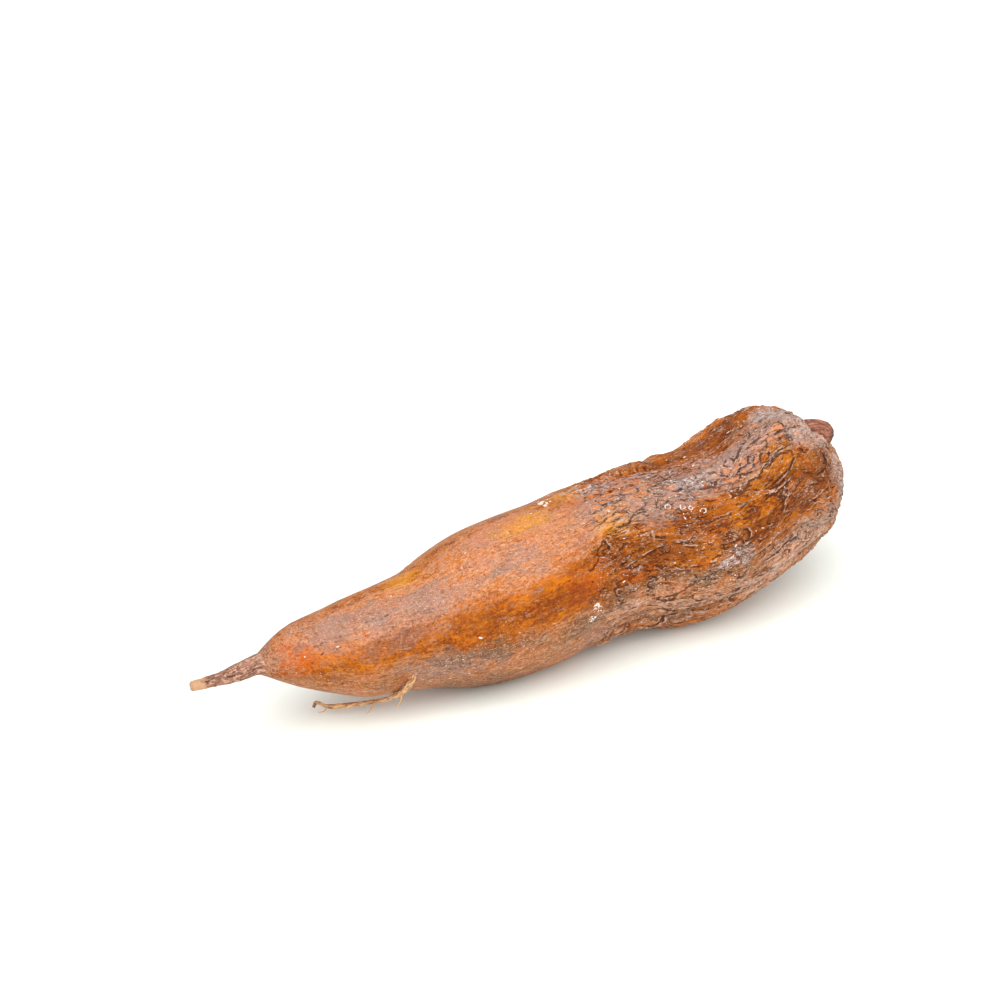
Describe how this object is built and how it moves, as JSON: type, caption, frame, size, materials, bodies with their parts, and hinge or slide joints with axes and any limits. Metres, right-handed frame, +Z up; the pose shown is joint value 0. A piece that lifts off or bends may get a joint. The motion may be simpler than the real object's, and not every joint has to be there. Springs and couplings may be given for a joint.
{
  "type": "cassava root",
  "caption": "Whole raw cassava root lying on its side: swollen tapering body with split brown bark at the head, a thin tail, a short stalk stub and a fine side root.",
  "frame": {"origin": "on the surface that the root lies on, under the middle of its bounding box", "axes": "+X along the root from the thin tail to the head, +Z up"},
  "size_m": [0.2765, 0.0676, 0.0705],
  "materials": {
    "bark": "papery brown bark with a thin coat of wax",
    "bare_wood": "dry pale wood and thin tan bark",
    "wax": "thin white flecks of dried wax"
  },
  "bodies": {
    "root": {"cassava_root": "bark"}
  },
  "joints": []
}
